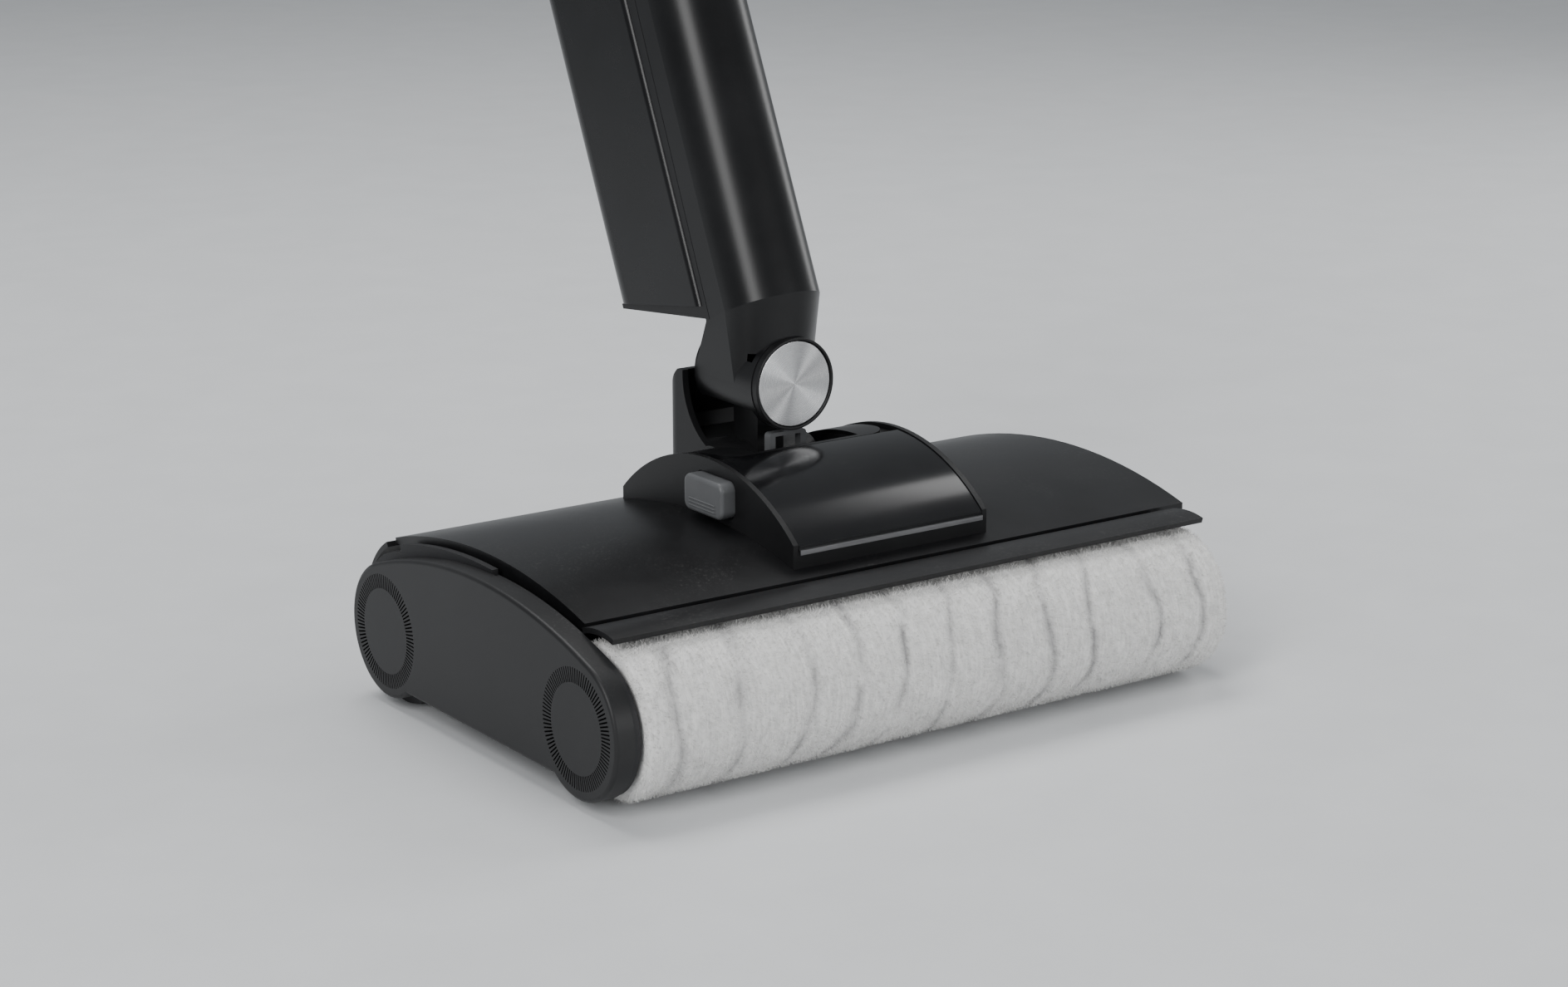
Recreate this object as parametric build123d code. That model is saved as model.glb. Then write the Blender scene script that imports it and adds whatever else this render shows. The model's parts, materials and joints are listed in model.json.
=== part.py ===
"""Cordless wet dry floor scrubber: twin-roller head, tilting neck and leaning body with a water tank.

Millimetres, +Z up, front toward -Y. Head parts are drawn straight in this frame.
Body parts are drawn upright in (width, depth, height) and then leaned by body_frame.
"""

import os
from math import cos, hypot, pi, radians, sin, tan

from build123d import *

# rollers and their drive
axle_gap = 134.0
roller_r = 29.0
axle_z = roller_r
sleeve_left = -136.5
sleeve_right = 124.5
sleeve_thick = 8.0
core_thick = 3.5
hub_length = 16.0
shaft_r = 5.0
bush_r = 7.0
pulley_r = 16.0
motor_pulley_r = 7.0
motor_r = 15.0
motor_length = 58.0
motor_shaft_r = 2.5
motor_z = 42.0
belt_thick = 1.5

# clearances
run_gap = 0.05
move_gap = 0.4
belt_gap = 0.3
roller_gap = 2.0

# head ends
cover_depth = 7.5
plate_thick = 2.5
left_plate_x = sleeve_left - 1.5
left_cover_x = left_plate_x - plate_thick
left_face_x = left_cover_x - cover_depth
right_bracket_x = sleeve_right + 2.0
right_bracket_thick = 4.5
right_cover_x = right_bracket_x + right_bracket_thick
right_cover_depth = 4.5
lobe_r = 25.5
arch_rise = 37.0
side_floor_z = 8.5
right_front_r = 13.0
right_rear_r = 22.0
right_top_r = 20.0
end_wall = 2.0
grille_outer_r = 21.6
grille_inner_r = 16.2
grille_slots = 90
grille_slot_width = 0.6

# top cover over both rollers
wing_front_y = 13.5 - axle_gap / 2
wing_rear_y = 13.0 + axle_gap / 2
wing_points = ((wing_front_y, axle_z + 31.5), (13.0, axle_z + 41.0), (wing_rear_y, axle_z + 31.0))
wing_left = left_plate_x + 2.5
wing_right = right_cover_x + right_cover_depth + 0.5
wing_skin = 2.2
wing_wall_z = 2 * roller_r
chassis_floor_z = 9.0
chassis_floor_thick = 2.5
chassis_half = axle_gap / 2 - roller_r
chassis_inner_half = chassis_half - 5.0
chassis_top_z = wing_wall_z - move_gap
lip_thick = 2.0
lip_tab_root = 5.0
lip_tab_half = 2.0
lip_tab_lap = 1.5
lip_tab_x = (-118.0, -85.0, 85.0, 118.0)

# raised centre housing
housing_half = 44.0
housing_points = ((-47.0, 68.5), (9.0, 90.0), (66.0, 66.0))
housing_skin = 2.2
rim_width = 2.2
rim_rise = 2.0
panel_thick = 1.6
trim_thick = 1.0
slot_half = 23.5
slot_front_y = 6.5
surround_band = 2.0
surround_half = 38.0
surround_corner_r = 10.0
button_half_length = 12.5
button_y = 2.5
button_z0 = 72.5
button_z1 = 86.4
button_out = 6.0
button_inside = 8.0
button_travel = 3.0

# neck
pitch_y = 38.0
pitch_z = 75.0
barrel_r = 12.0
cradle_half = 21.5
cradle_wall = 2.7
pin_r = 4.0
block_r = 6.2
block_thick = 7.0
roll_z = 113.0
post_half = 6.0
post_y0 = 30.0
post_y1 = 46.0
boss_r = 8.0
tongue_half = 8.4
tongue_bar = 2.6

# ankle on the bottom of the body
ankle_half = 18.0
ankle_front_y = 17.0
ankle_rear_y = 55.0
ankle_wall = 2.5
ankle_bow = 11.0
ring_r = 17.7
ring_width = 1.2
ring_depth = 3.4
cap_depth = 2.8

# leaning body
lean = 24.5
body_y = 32.2
body_z = 142.4
body_r = 20.0
shell = 2.2
column_back = 13.8
base_s = -2.5
seam_gap = 0.3
seam_top_d = 4.0
seam_bottom_d = 11.0

# water tank behind the column, standing on a sloping shelf
tank_slope = 16.0
tank_half = 21.0
tank_front_d = column_back + move_gap
tank_back_d = 75.0
tank_corner_r = 12.0
tank_wall = 2.0
tank_height = 250.0
shelf_front_s = 3.4
shelf_front_thick = 5.0
shelf_back_thick = 2.0
top_house_height = 86.6
body_top_s = shelf_front_s + tank_height + top_house_height
tank_cap_r = 13.0
tank_cap_s = tank_height
head_back_d = 70.0

# handle
tube_r = 14.0
tube_d = -2.5
tube_wall = 1.5
tube_bottom_s = body_top_s - 44.0
lock_s = body_top_s - 24.0
latch_s = body_top_s - 26.0
tube_top_s = 905.0
collar_height = 14.0
grip_bottom_s = 800.0
grip_top_s = 960.0
grip_half = 17.0
grip_depth = 24.0
trigger_length = 48.0
trigger_s = 868.0

front_y = -axle_gap / 2
rear_y = axle_gap / 2


def rect(u0, u1, v0, v1):
    return Pos((u0 + u1) / 2, (v0 + v1) / 2) * Rectangle(u1 - u0, v1 - v0)


def disc(u, v, r):
    return Pos(u, v) * Circle(r)


def polygon(*points):
    return make_face(Polyline(*points, close=True))


def along_x(face, x0, x1):
    """Stand a (y, z) face up and extrude it from x0 to x1."""
    return Pos(x0, 0, 0) * extrude(Plane.YZ * face, x1 - x0)


def along_y(face, y0, y1):
    """Stand an (x, z) face up and extrude it from y0 to y1."""
    return Pos(0, y1, 0) * extrude(Plane.XZ * face, y1 - y0)


def along_z(face, z0, z1):
    return Pos(0, 0, z0) * extrude(face, z1 - z0)


def block(x0, x1, y0, y1, z0, z1):
    return along_z(rect(x0, x1, y0, y1), z0, z1)


def circle_through(a, b, c):
    """Centre and radius of the circle through three (y, z) points."""
    d = 2 * (a[0] * (b[1] - c[1]) + b[0] * (c[1] - a[1]) + c[0] * (a[1] - b[1]))
    sa, sb, sc = (p[0] ** 2 + p[1] ** 2 for p in (a, b, c))
    u = (sa * (b[1] - c[1]) + sb * (c[1] - a[1]) + sc * (a[1] - b[1])) / d
    v = (sa * (c[0] - b[0]) + sb * (a[0] - c[0]) + sc * (b[0] - a[0])) / d
    return u, v, hypot(a[0] - u, a[1] - v)


wing_y, wing_z, wing_r = circle_through(*wing_points)
arch_y, arch_z, arch_r = circle_through(*housing_points)


def side_face(inset):
    """End profile of the head: two lobes round the axles under one long arch."""
    big_r = ((axle_gap / 2) ** 2 + arch_rise**2 - lobe_r**2) / (2 * (arch_rise - lobe_r))
    big_z = axle_z + arch_rise - big_r
    tangent_y = (big_r - inset) * (axle_gap / 2) / (big_r - lobe_r)
    arch = disc(0, big_z, big_r - inset)
    arch &= rect(-tangent_y, tangent_y, axle_z, axle_z + arch_rise)
    middle = rect(front_y, rear_y, side_floor_z + inset, axle_z)
    lobes = disc(front_y, axle_z, lobe_r - inset) + disc(rear_y, axle_z, lobe_r - inset)
    return arch + middle + lobes


def grille_slots_at(y):
    slot_length = grille_outer_r - grille_inner_r
    slot = Pos(0, (grille_outer_r + grille_inner_r) / 2) * Rectangle(grille_slot_width, slot_length)
    turns = [Rot(0, 0, 360 * i / grille_slots) * slot for i in range(grille_slots)]
    face = Pos(y, axle_z) * Sketch(children=turns)
    return along_x(face, left_face_x - 1, left_face_x + end_wall + 0.2)


def left_end_parts():
    cover = along_x(side_face(0), left_face_x, left_cover_x)
    cover = fillet(cover.faces().sort_by(Axis.X)[0].edges(), 1.5)
    cover -= along_x(side_face(end_wall), left_face_x + 1.6, left_cover_x)
    cover -= grille_slots_at(front_y)
    cover -= grille_slots_at(rear_y)
    guard = disc(wing_y, wing_z, wing_r - wing_skin) & rect(0, rear_y, axle_z, 100)
    guard += disc(rear_y, axle_z, roller_r - 0.5)
    plate = along_x(side_face(0.6) + guard, left_cover_x, left_plate_x)
    for y in (front_y, rear_y):
        plate -= along_x(disc(y, axle_z, bush_r), left_cover_x, left_plate_x)
    plate -= along_x(disc(0, motor_z, motor_shaft_r + 1.5), left_cover_x, left_plate_x)
    return cover, plate


def right_face(inset):
    """Low right end profile: a slim arm to the front axle, a full lobe round the rear one."""
    discs = [disc(front_y, axle_z, right_front_r - inset), disc(rear_y, axle_z, right_rear_r - inset)]
    discs.append(disc(0, axle_z + 7, right_top_r - inset))
    return make_face(make_hull(sum((list(d.edges()) for d in discs), [])))


def screw_stack(head_length, reach):
    """Heads and shanks of the three screws in the right end."""
    head_x = right_cover_x + right_cover_depth - 1.3
    stack = Part()
    for y, z in ((-0.45, -3.0), (0.45, -8.0), (0.0, 17.0)):
        centre_y = y * axle_gap / 2
        stack += along_x(disc(centre_y, axle_z + z, 2.8), head_x, head_x + head_length)
        stack += along_x(disc(centre_y, axle_z + z, 1.4), right_bracket_x + reach, head_x)
    return stack


def end_screws():
    screws = screw_stack(1.2, 1)
    slot_x = right_cover_x + right_cover_depth - 0.8
    return screws - along_x(rect(-100, 100, axle_z - 3.35, axle_z - 2.65), slot_x, wing_right)


def right_end_parts():
    holes = screw_stack(4, 1)
    cover = along_x(right_face(0), right_cover_x, right_cover_x + right_cover_depth)
    cover = fillet(cover.faces().sort_by(Axis.X)[-1].edges(), 1.5)
    ring = disc(rear_y, axle_z, 17) - disc(rear_y, axle_z, 16)
    cover -= along_x(ring, right_cover_x + right_cover_depth - 0.8, wing_right)
    bracket = along_x(right_face(0.6), right_bracket_x, right_cover_x)
    for y in (front_y, rear_y):
        bracket -= along_x(disc(y, axle_z, bush_r), right_bracket_x, right_cover_x)
    return cover - holes, bracket - holes


def axle_bushes():
    bushes = Part()
    for y in (front_y, rear_y):
        ring = disc(y, axle_z, bush_r) - disc(y, axle_z, shaft_r + run_gap)
        bushes += along_x(ring, left_cover_x, left_plate_x)
        bushes += along_x(ring, right_bracket_x, right_cover_x)
    return bushes


def base_chassis():
    """Channel between the rollers with a wall curved round each roller."""
    outer = rect(-chassis_half, chassis_half, chassis_floor_z, chassis_top_z)
    for y in (front_y, rear_y):
        outer -= disc(y, axle_z, roller_r + roller_gap)
    inner = rect(-chassis_inner_half, chassis_inner_half,
                 chassis_floor_z + chassis_floor_thick, chassis_top_z)
    body = along_x(outer - inner, left_plate_x, right_bracket_x)
    window = along_x(rect(-60, 60, chassis_top_z - 6, chassis_top_z), -slot_half, slot_half)
    return body - window


def wing_band(outer_inset, inner_inset):
    ring = disc(wing_y, wing_z, wing_r - outer_inset) - disc(wing_y, wing_z, wing_r - inner_inset)
    return ring & rect(wing_points[0][0], wing_points[2][0], wing_wall_z - 6, 100)


def neck_opening():
    return block(-slot_half, slot_half, slot_front_y, 74, chassis_top_z - 6, 120)


def top_cover():
    cover = along_x(wing_band(0, wing_skin), wing_left, wing_right)
    under = disc(wing_y, wing_z, wing_r - wing_skin / 2)
    wall = under & rect(wing_points[0][0], wing_points[2][0], wing_wall_z, 100)
    cover += along_x(wall, wing_left, wing_left + wing_skin)
    cover += along_x(wall, wing_right - wing_skin, wing_right)
    legs = rect(-chassis_half, -chassis_inner_half, chassis_top_z, 100)
    legs += rect(chassis_inner_half, chassis_half, chassis_top_z, 100)
    for x in (-110.0, -60.0, 60.0, 110.0):
        cover += along_x(legs & under, x - 1.5, x + 1.5)
    return cover - neck_opening()


def lip(y, start, end, wing_edge, outward):
    """Strip curved round a roller, hung from the edge of the top cover by short tabs."""
    room = disc(y, axle_z, roller_r + roller_gap)
    ring = disc(y, axle_z, roller_r + roller_gap + lip_thick) - room
    reach = 2 * roller_r
    corner = [(y, axle_z)]
    for angle in (start, (start + end) / 2, end):
        corner.append((y + reach * cos(radians(angle)), axle_z + reach * sin(radians(angle))))
    strip = along_x(ring & polygon(*corner), left_plate_x, right_bracket_x)
    root = wing_edge - outward * lip_tab_root
    near = start if outward < 0 else end
    tip = y + (roller_r + roller_gap) * cos(radians(near)) + outward * lip_tab_lap
    web = disc(wing_y, wing_z, wing_r - wing_skin) & rect(min(root, tip), max(root, tip), axle_z, 100)
    web += ring & rect(min(wing_edge, tip), max(wing_edge, tip), axle_z, 100)
    for x in lip_tab_x:
        strip += along_x(web - room, x - lip_tab_half, x + lip_tab_half)
    return strip


def arch_band(low, high, y0, y1):
    ring = disc(arch_y, arch_z, arch_r + high) - disc(arch_y, arch_z, arch_r + low)
    return ring & rect(y0, y1, wing_wall_z, 110)


def centre_housing():
    arch_front = housing_points[0][0]
    arch_rear = housing_points[2][0]
    span = rect(arch_front, arch_rear, wing_wall_z, 110)
    body = along_x(disc(arch_y, arch_z, arch_r) & span, -housing_half, housing_half)
    rims = along_x(arch_band(-1, rim_rise, arch_front, arch_rear), -housing_half, housing_half)
    rims -= along_x(rect(-100, 100, 0, 120), rim_width - housing_half, housing_half - rim_width)
    hollow = disc(arch_y, arch_z, arch_r - housing_skin)
    front_room = hollow & rect(arch_front + housing_skin, slot_front_y - housing_skin, 50, 110)
    side_room = hollow & rect(slot_front_y - housing_skin, arch_rear - housing_skin, 50, 110)
    inner = housing_half - housing_skin
    body -= along_x(front_room, -inner, inner)
    body -= along_x(side_room, -inner, -slot_half - housing_skin)
    body -= along_x(side_room, slot_half + housing_skin, inner)
    body -= along_x(disc(wing_y, wing_z, wing_r), -100, 100)
    rims -= along_x(disc(wing_y, wing_z, wing_r), -100, 100)
    body += rims
    body -= neck_opening()
    body -= along_x(disc(pitch_y, pitch_z, pin_r + move_gap), -inner, inner)
    for side in (-1, 1):
        body -= button_solid(side, move_gap)
    return body


def button_solid(side, grow):
    """Rounded release button; grow widens it into its own window."""
    y0 = button_y - button_half_length - grow
    y1 = button_y + button_half_length + grow
    face = rect(y0, y1, button_z0 - grow, button_z1 + grow)
    face = fillet(face.vertices(), 3.5 + grow)
    outer_x = housing_half + button_out
    inner_x = housing_half - button_inside
    if grow:
        inner_x -= button_travel + grow
    solid = along_x(face, inner_x, outer_x)
    if not grow:
        solid = fillet(solid.faces().sort_by(Axis.X)[-1].edges(), 1.5)
    return solid if side > 0 else mirror(solid, Plane.YZ)


def centre_panel():
    half = housing_half - rim_width - 0.3
    return along_x(arch_band(0, panel_thick, housing_points[0][0], slot_front_y - surround_band - 0.4),
                   -half, half)


def panel_trim():
    y1, z1 = housing_points[0]
    half = housing_half - rim_width - 0.3
    return block(-half, half, y1 - trim_thick, y1, z1 - trim_thick, z1 + panel_thick / 2)


def neck_surround():
    front = slot_front_y - surround_band
    back = housing_points[2][0] - 4
    plan = rect(-surround_half, surround_half, front, back)
    plan = fillet(plan.vertices(), surround_corner_r)
    plan -= rect(-slot_half - 0.5, slot_half + 0.5, slot_front_y, 200)
    layer = along_x(arch_band(0, panel_thick, front - 1, back + 1), -housing_half, housing_half)
    return layer & along_z(plan, 0, 120)


def bearing_blocks():
    blocks = Part()
    x0 = slot_half + housing_skin
    for side in (-1, 1):
        ends = sorted((side * x0, side * (x0 + block_thick)))
        foot = rect(pitch_y - 5, pitch_y + 5, wing_wall_z, pitch_z) + disc(pitch_y, pitch_z, block_r)
        blocks += along_x(foot - disc(pitch_y, pitch_z, pin_r + run_gap), *ends)
    return blocks - along_x(disc(wing_y, wing_z, wing_r), -100, 100)


def drive_motor():
    can = along_x(disc(0, motor_z, motor_r), left_plate_x, left_plate_x + motor_length)
    can = fillet(can.faces().sort_by(Axis.X)[-1].edges(), 2)
    can -= along_x(disc(0, motor_z, motor_shaft_r + run_gap), left_plate_x, left_plate_x + 20)
    tail = left_plate_x + motor_length
    return can + along_x(disc(0, motor_z, 4), tail - 1, tail + 3)


def pulley_x(inset):
    return left_face_x + 2.0 + inset, left_cover_x - 0.7 - inset


def drive_belt():
    def loop(grow):
        rings = [disc(front_y, axle_z, pulley_r + grow), disc(rear_y, axle_z, pulley_r + grow)]
        rings.append(disc(0, motor_z, motor_pulley_r + grow))
        return make_face(make_hull(sum((list(r.edges()) for r in rings), [])))
    return along_x(loop(belt_gap + belt_thick) - loop(belt_gap), *pulley_x(0.4))


def motor_pulley():
    x0, x1 = pulley_x(0)
    wheel = along_x(disc(0, motor_z, motor_pulley_r), x0, x1)
    return wheel + along_x(disc(0, motor_z, motor_shaft_r), x1, left_plate_x + 18)


def dirty_water_tray():
    floor = chassis_floor_z + chassis_floor_thick
    x0 = left_plate_x + motor_length + 10
    half = chassis_inner_half - 1
    tray = block(x0, right_bracket_x - 3, -half, half, floor, floor + 30)
    tray -= block(x0 + 2, right_bracket_x - 5, 2 - half, half - 2, floor + 2, floor + 30)
    return tray


def scraper_blades():
    """Rubber blades on the curved chassis walls that wring each roller."""
    blades = Part()
    for side in (-1, 1):
        reach = axle_gap / 2 - roller_r - roller_gap
        ends = sorted((side * (reach - 0.3), side * (reach + 1.4)))
        bar = along_x(rect(*ends, axle_z - 1.5, axle_z + 1.5), left_plate_x + 4, right_bracket_x - 4)
        channel = disc(side * axle_gap / 2, axle_z, roller_r + roller_gap)
        blades += bar & along_x(channel, -200, 200)
    return blades


def spray_nozzles():
    """Water jets on the wing's underside over the front roller."""
    jets = Part()
    for x in (-90.0, -45.0, 0.0, 45.0, 90.0):
        stem = Pos(x, -44, 60) * Cylinder(2.2, 6)
        jets += stem - Pos(x, -44, 58) * Cylinder(0.8, 6)
    pipe = along_x(disc(-44, 60.5, 1.8), -100, 110)
    return (jets + pipe) & along_x(disc(wing_y, wing_z, wing_r - wing_skin), -200, 200)


def roller_parts(y):
    inner_r = roller_r - sleeve_thick
    bore_r = inner_r - core_thick
    sleeve = along_x(disc(y, axle_z, roller_r), sleeve_left, sleeve_right)
    ends = sleeve.edges().filter_by(GeomType.CIRCLE)
    sleeve = fillet(ends, 2.5)
    sleeve -= along_x(disc(y, axle_z, inner_r), sleeve_left, sleeve_right)
    x0 = sleeve_left + 0.5
    x1 = sleeve_right - 0.5
    core = along_x(disc(y, axle_z, inner_r) - disc(y, axle_z, bore_r), x0, x1)
    hub = along_x(disc(y, axle_z, bore_r), x0, x0 + hub_length)
    hub += along_x(disc(y, axle_z, shaft_r), pulley_x(0)[0], x0)
    wheel = disc(y, axle_z, pulley_r) - disc(y, axle_z, shaft_r)
    for i in range(6):
        turn = 2 * pi * i / 6
        wheel -= disc(y + 10.5 * cos(turn), axle_z + 10.5 * sin(turn), 3)
    pulley = along_x(wheel, *pulley_x(0))
    idler = along_x(disc(y, axle_z, bore_r), x1 - hub_length, x1)
    idler += along_x(disc(y, axle_z, shaft_r), x1, right_cover_x - 0.5)
    return sleeve, core, hub, pulley, idler


def neck_cradle():
    heel = ThreePointArc((61.5, 113), (71.5, 94), (66, 75))
    rim = Polyline((66, 75), (52, 68), (40, 63.1), (28, 67), (19.5, 72), (19.5, 84), (25, 84))
    sweep_up = ThreePointArc((25, 84), (48, 90), (58, 113))
    top = Line((58, 113), (61.5, 113))
    outer = make_face([heel, *rim.edges(), sweep_up, top])
    cup = along_x(outer, -cradle_half, cradle_half)
    plan = rect(-cradle_half, cradle_half, 0, 71.5)
    cup &= along_z(fillet(plan.vertices().group_by(Axis.Y)[-1], 9), 0, 200)
    room = polygon((19, 84), (30, 88), (63.5, 88), (66, 93), (58.4, 113), (19, 113))
    inner = cradle_half - cradle_wall
    cup -= along_x(room, -inner, inner)
    cup += along_x(disc(pitch_y, pitch_z, barrel_r), -cradle_half, cradle_half)
    cup += block(-post_half, post_half, post_y0, post_y1, pitch_z, roll_z)
    cup += along_y(disc(0, roll_z, boss_r), post_y0, post_y1)
    cup -= along_y(disc(0, roll_z, pin_r + run_gap), post_y0, post_y1)
    cup -= along_x(disc(pitch_y, pitch_z, pin_r), -cradle_half, cradle_half)
    return cup - neck_tongue()


def neck_tongue():
    plate = rect(-tongue_half, tongue_half, 74, 94)
    plate = fillet(plate.vertices(), 1.5)
    window = rect(tongue_bar - tongue_half, tongue_half - tongue_bar, 80, 92.5)
    return along_y(plate - window, 18.4, 22.0)


def trunnion_pin():
    reach = slot_half + housing_skin + block_thick
    return along_x(disc(pitch_y, pitch_z, pin_r), -reach, reach)


body_frame = Plane(
    origin=(0, body_y, body_z),
    x_dir=(1, 0, 0),
    z_dir=(0, sin(radians(lean)), cos(radians(lean))),
).location


def lean_it(shape):
    return body_frame * shape


def slope_s(s_front, d):
    """Height of a line that climbs rearward at the tank's slope."""
    return s_front + (d - tank_front_d) * tan(radians(tank_slope))


def column_face(inset):
    r = body_r - inset
    front = Circle(r) & rect(-r, r, -r, 0)
    return front + rect(-r, r, 0, column_back - inset)


def tank_face(inset):
    face = rect(-tank_half + inset, tank_half - inset, tank_front_d + inset, tank_back_d - inset)
    rear = face.vertices().group_by(Axis.Y)[-1]
    face = fillet(rear, tank_corner_r - inset)
    return fillet(face.vertices().group_by(Axis.Y)[0], 3 - inset / 2)


def sloped_slice(low, high):
    """Everything between two parallel sloping planes."""
    d0 = -60
    d1 = 160
    return along_x(
        polygon((d0, slope_s(low, d0)), (d1, slope_s(low, d1)),
                (d1, slope_s(high, d1)), (d0, slope_s(high, d0))), -60, 60)


def seam_side(offset, reach):
    """Region behind (reach > 0) or ahead of the slanted side seam."""
    run = (seam_top_d - seam_bottom_d) / (body_top_s - base_s)
    low = seam_bottom_d + offset - 40 * run
    high = seam_top_d + offset + 40 * run
    return along_x(
        polygon((low, base_s - 40), (high, body_top_s + 40),
                (high + reach, body_top_s + 40), (low + reach, base_s - 40)), -60, 60)


def column_solid():
    column = along_z(column_face(0), base_s, body_top_s)
    column = fillet(column.faces().sort_by(Axis.Z)[-1].edges(), 3)
    column -= along_z(column_face(shell), base_s + 3, body_top_s - 3)
    return column - along_z(disc(0, tube_d, tube_r), body_top_s - 10, body_top_s)


def bowed_face(half, front, side_front, back):
    """Plan of a column with straight sides and a front that bows forward."""
    bow = ThreePointArc((-half, side_front), (0, front), (half, side_front))
    back_line = Polyline((half, side_front), (half, back), (-half, back), (-half, side_front))
    return make_face([bow, *back_line.edges()])


def ankle():
    """Hollow lug that carries the roll pin below the column."""
    lug = along_y(disc(0, roll_z, ankle_half), ankle_front_y, ankle_rear_y)
    lower = bowed_face(ankle_half, ankle_front_y, ankle_front_y + ankle_bow, ankle_rear_y)
    upper = bowed_face(body_r, -body_r, 0, column_back)
    neck = loft([Pos(0, 0, roll_z) * lower, lean_it(Pos(0, 0, base_s) * upper)])
    lug += neck
    inner = ankle_half - ankle_wall
    lug -= block(-inner, inner, ankle_front_y + 3, ankle_rear_y - 3, roll_z - 30, roll_z + 12)
    lug -= along_x(polygon((10, 95), (20, 95), (ankle_rear_y, 104), (60, 60), (10, 60)), -60, 60)
    lug -= along_y(disc(0, roll_z, pin_r), 0, 80)
    lug -= along_y(disc(0, roll_z, ring_r), 0, ankle_front_y)
    return lug - lean_it(block(-60, 60, -60, 120, base_s, 200))


def front_shell():
    shell_part = column_solid() & seam_side(0, -80)
    lock_hole = Pos(0, -body_r + 4, lock_s) * Box(9, 12, 13)
    return lean_it(shell_part - lock_hole) + ankle()


def spine_shell():
    rear = column_solid() & seam_side(seam_gap, 80)
    top_low = shelf_front_s + tank_height + move_gap
    plan = rect(-tank_half, tank_half, column_back - shell, head_back_d)
    plan = fillet(plan.vertices().group_by(Axis.Y)[-1], tank_corner_r)
    head = along_z(plan, 200, body_top_s) & sloped_slice(top_low, 600)
    head = fillet(head.faces().sort_by(Axis.Z)[-1].edges().filter_by(lambda e: e.center().Y > 20), 4)
    hollow = rect(-tank_half + shell, tank_half - shell, column_back, head_back_d - shell)
    hollow = fillet(hollow.vertices().group_by(Axis.Y)[-1], tank_corner_r - shell)
    head -= along_z(hollow, 200, body_top_s - 3) & sloped_slice(top_low + 3, 600)
    shelf_line = polygon(
        (column_back - shell, slope_s(shelf_front_s, column_back - shell)),
        (tank_back_d - 6, slope_s(shelf_front_s, tank_back_d - 6)),
        (tank_back_d - 6, slope_s(shelf_front_s, tank_back_d - 6) - shelf_back_thick),
        (column_back - shell, slope_s(shelf_front_s, column_back - shell) - shelf_front_thick))
    shelf = along_x(shelf_line, -tank_half + 1, tank_half - 1)
    body = rear + head + shelf
    body -= block(-8.4, 8.4, head_back_d - 5, head_back_d + 5, latch_s - 7.4, latch_s + 7.4)
    return lean_it(body)


def tank_solid():
    low = shelf_front_s
    body = along_z(tank_face(0), -40, 320) & sloped_slice(low, low + tank_height)
    room = along_z(tank_face(tank_wall), -40, 320)
    body -= room & sloped_slice(low + tank_wall, low + tank_height - tank_wall)
    return body


def tank():
    neck = along_y(disc(0, tank_cap_s, tank_cap_r), tank_back_d - 3, tank_back_d + 2)
    body = tank_solid() + neck
    body -= along_y(disc(0, tank_cap_s, tank_cap_r - 3), tank_back_d - 6, tank_back_d + 3)
    return lean_it(body)


def tank_cap():
    """Round flap with a plug, hinged under the filler."""
    face_d = tank_back_d + 2 + move_gap
    flap = along_y(disc(0, tank_cap_s, tank_cap_r + 1), face_d, face_d + 3)
    flap = fillet(flap.faces().sort_by(Axis.Y)[-1].edges(), 1)
    flap += along_y(disc(0, tank_cap_s, tank_cap_r - 5), face_d - 3, face_d)
    hinge_s = tank_cap_s - tank_cap_r - 3
    flap += along_y(rect(-5, 5, hinge_s - 2, hinge_s + 4), face_d, face_d + 3)
    return lean_it(flap)


def tank_latch():
    button = along_y(fillet(rect(-8, 8, latch_s - 7, latch_s + 7).vertices(), 2), head_back_d - 8, head_back_d + 2.5)
    return lean_it(fillet(button.faces().sort_by(Axis.Y)[-1].edges(), 1))


def inner_body_parts():
    battery = Pos(0, -2, 150) * Box(25.4, 20, 170)
    battery = fillet(battery.edges().filter_by(Axis.Z), 4)
    battery += along_z(Circle(2), 234, 240)
    pump = Pos(0, -2, 36) * Cylinder(12, 44) + Pos(0, -2, 10) * Cylinder(7, 10)
    board_s = tube_bottom_s - 32
    board = Pos(0, -4, board_s) * Box(28, 1.6, 40) + Pos(0, -2.2, board_s - 2) * Box(18, 2, 14)
    hose = Pos(15.2, 4, 175) * Cylinder(2.2, 230)
    hose += Pos(15.2, 4, 60) * Sphere(2.2)
    return [lean_it(s) for s in (battery, pump, board, hose)]


def pivot_parts():
    ring = disc(0, roll_z, ring_r) - disc(0, roll_z, ring_r - ring_width)
    bezel = along_y(ring, ankle_front_y - ring_depth, ankle_front_y)
    bezel = fillet(bezel.faces().sort_by(Axis.Y)[0].edges(), 0.4)
    cap = along_y(disc(0, roll_z, ring_r - ring_width - 0.1), ankle_front_y - cap_depth, ankle_front_y)
    cap = fillet(cap.faces().sort_by(Axis.Y)[0].edges(), 0.4)
    pin = along_y(disc(0, roll_z, pin_r), ankle_front_y, ankle_rear_y - 0.5)
    return bezel, cap, pin


def handle_parts():
    ring = disc(0, tube_d, tube_r) - disc(0, tube_d, tube_r - tube_wall)
    tube = along_z(ring, tube_bottom_s, tube_top_s)
    tube -= Pos(0, tube_d - tube_r, lock_s) * Box(9, 8, 13)
    ring = disc(0, tube_d, tube_r + 4) - disc(0, tube_d, tube_r)
    collar = along_z(ring, body_top_s, body_top_s + collar_height)
    collar = chamfer(collar.faces().sort_by(Axis.Z)[-1].outer_wire().edges(), 2)
    lock_face = Pos(0, -body_r + 3.6, lock_s) * Box(8, 8.8, 12)
    return lean_it(tube), lean_it(collar), lean_it(lock_face)


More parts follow.
